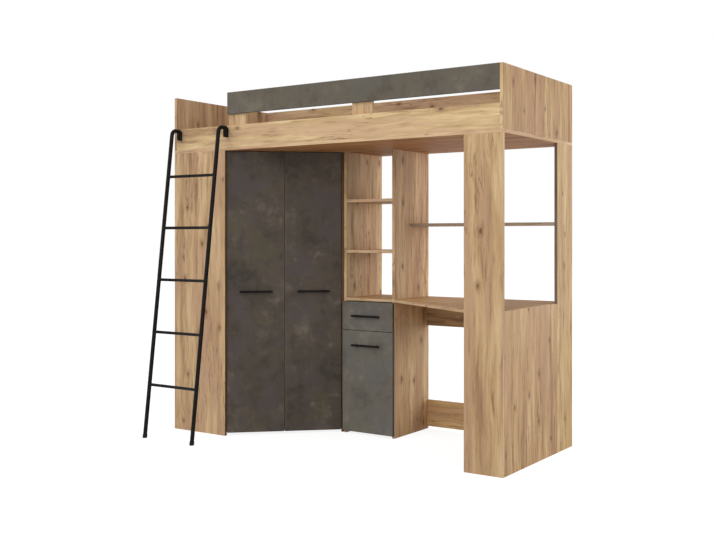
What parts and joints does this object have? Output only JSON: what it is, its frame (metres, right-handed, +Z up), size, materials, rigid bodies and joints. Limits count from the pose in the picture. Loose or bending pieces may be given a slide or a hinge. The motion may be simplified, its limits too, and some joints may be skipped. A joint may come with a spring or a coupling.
{
  "type": "loft bed",
  "caption": "High sleeper with a diagonal corner wardrobe, open shelves, a drawer cabinet and a desk under a boarded deck, a guard rail and a lift-off steel ladder.",
  "frame": {"origin": "on the floor, at the middle of the whole footprint from the ladder's feet to the wall side", "axes": "+X along the bed from the ladder end to the desk end, +Y from the front towards the wall, +Z up"},
  "size_m": [2.032, 1.1266, 1.874],
  "materials": {
    "oak_laminate": "matte golden oak print on chipboard",
    "concrete_laminate": "matte dark concrete print on chipboard",
    "hardboard": "smooth brown hardboard",
    "black_steel": "satin black powder coat",
    "black_rubber": "matte",
    "zinc_steel": "zinc plated"
  },
  "bodies": {
    "bed_frame": {"deck_board": "oak_laminate", "left_end_panel": "oak_laminate", "right_end_panel": "oak_laminate", "front_beam": "oak_laminate", "back_rail": "oak_laminate", "guard_rail": "concrete_laminate", "guard_post_left": "oak_laminate", "guard_post_middle": "oak_laminate", "left_front_panel": "oak_laminate", "right_front_panel": "oak_laminate", "right_side_panel": "oak_laminate", "right_back_post": "oak_laminate", "wardrobe_left_side": "oak_laminate", "wardrobe_right_side": "oak_laminate", "wardrobe_filler": "oak_laminate", "wardrobe_bottom": "oak_laminate", "wardrobe_back": "hardboard", "hat_shelf": "oak_laminate", "hanging_rail": "zinc_steel", "hanging_rail_sockets": "zinc_steel", "desk_top": "oak_laminate", "divider_lower": "oak_laminate", "divider_upper": "oak_laminate", "cabinet_bottom": "oak_laminate", "cabinet_back": "hardboard", "cabinet_cross_rail": "oak_laminate", "cabinet_shelf": "oak_laminate", "shelf_pins": "zinc_steel", "open_shelf_lower": "oak_laminate", "open_shelf_upper": "oak_laminate", "back_shelf": "oak_laminate", "under_desk_rail": "oak_laminate", "low_back_rail": "oak_laminate", "deck_screws": "zinc_steel", "wardrobe_hinge_arms": "zinc_steel", "cabinet_hinge_arms": "zinc_steel", "cabinet_runners": "zinc_steel", "ladder_keepers": "black_steel"},
    "left_door": {"wardrobe_door_left": "concrete_laminate", "handle_left": "black_steel", "hinge_cups_left": "zinc_steel"},
    "right_door": {"wardrobe_door_right": "concrete_laminate", "handle_right": "black_steel", "hinge_cups_right": "zinc_steel"},
    "cabinet_door": {"cabinet_door": "concrete_laminate", "cabinet_door_handle": "black_steel", "cabinet_hinge_cups": "zinc_steel"},
    "drawer": {"drawer_front": "concrete_laminate", "drawer_left_side": "oak_laminate", "drawer_right_side": "oak_laminate", "drawer_back": "oak_laminate", "drawer_bottom": "hardboard", "drawer_handle": "black_steel", "drawer_runners": "zinc_steel"},
    "ladder": {"ladder_rail_left": "black_steel", "ladder_rail_right": "black_steel", "ladder_rungs": "black_steel", "ladder_feet": "black_rubber"}
  },
  "joints": [
    {"name": "left_door_hinge", "type": "hinge", "parent": "bed_frame", "child": "left_door", "pos_m": [-0.62595, -0.24833, 0.8], "axis": [0, 0, -1], "range_deg": [0, 95]},
    {"name": "right_door_hinge", "type": "hinge", "parent": "bed_frame", "child": "right_door", "pos_m": [-0.1858, 0.17446, 0.8], "axis": [0, 0, -1], "range_deg": [-90, 0]},
    {"name": "cabinet_door_hinge", "type": "hinge", "parent": "bed_frame", "child": "cabinet_door", "pos_m": [0.156, 0.1803, 0.293], "axis": [0, 0, 1], "range_deg": [0, 95]},
    {"name": "drawer_slide", "type": "slide", "parent": "bed_frame", "child": "drawer", "axis": [0, -1, 0], "range_m": [0, 0.25]},
    {"name": "ladder_lift", "type": "slide", "parent": "bed_frame", "child": "ladder", "axis": [0, 0, 1], "range_m": [0, 0.035]}
  ]
}
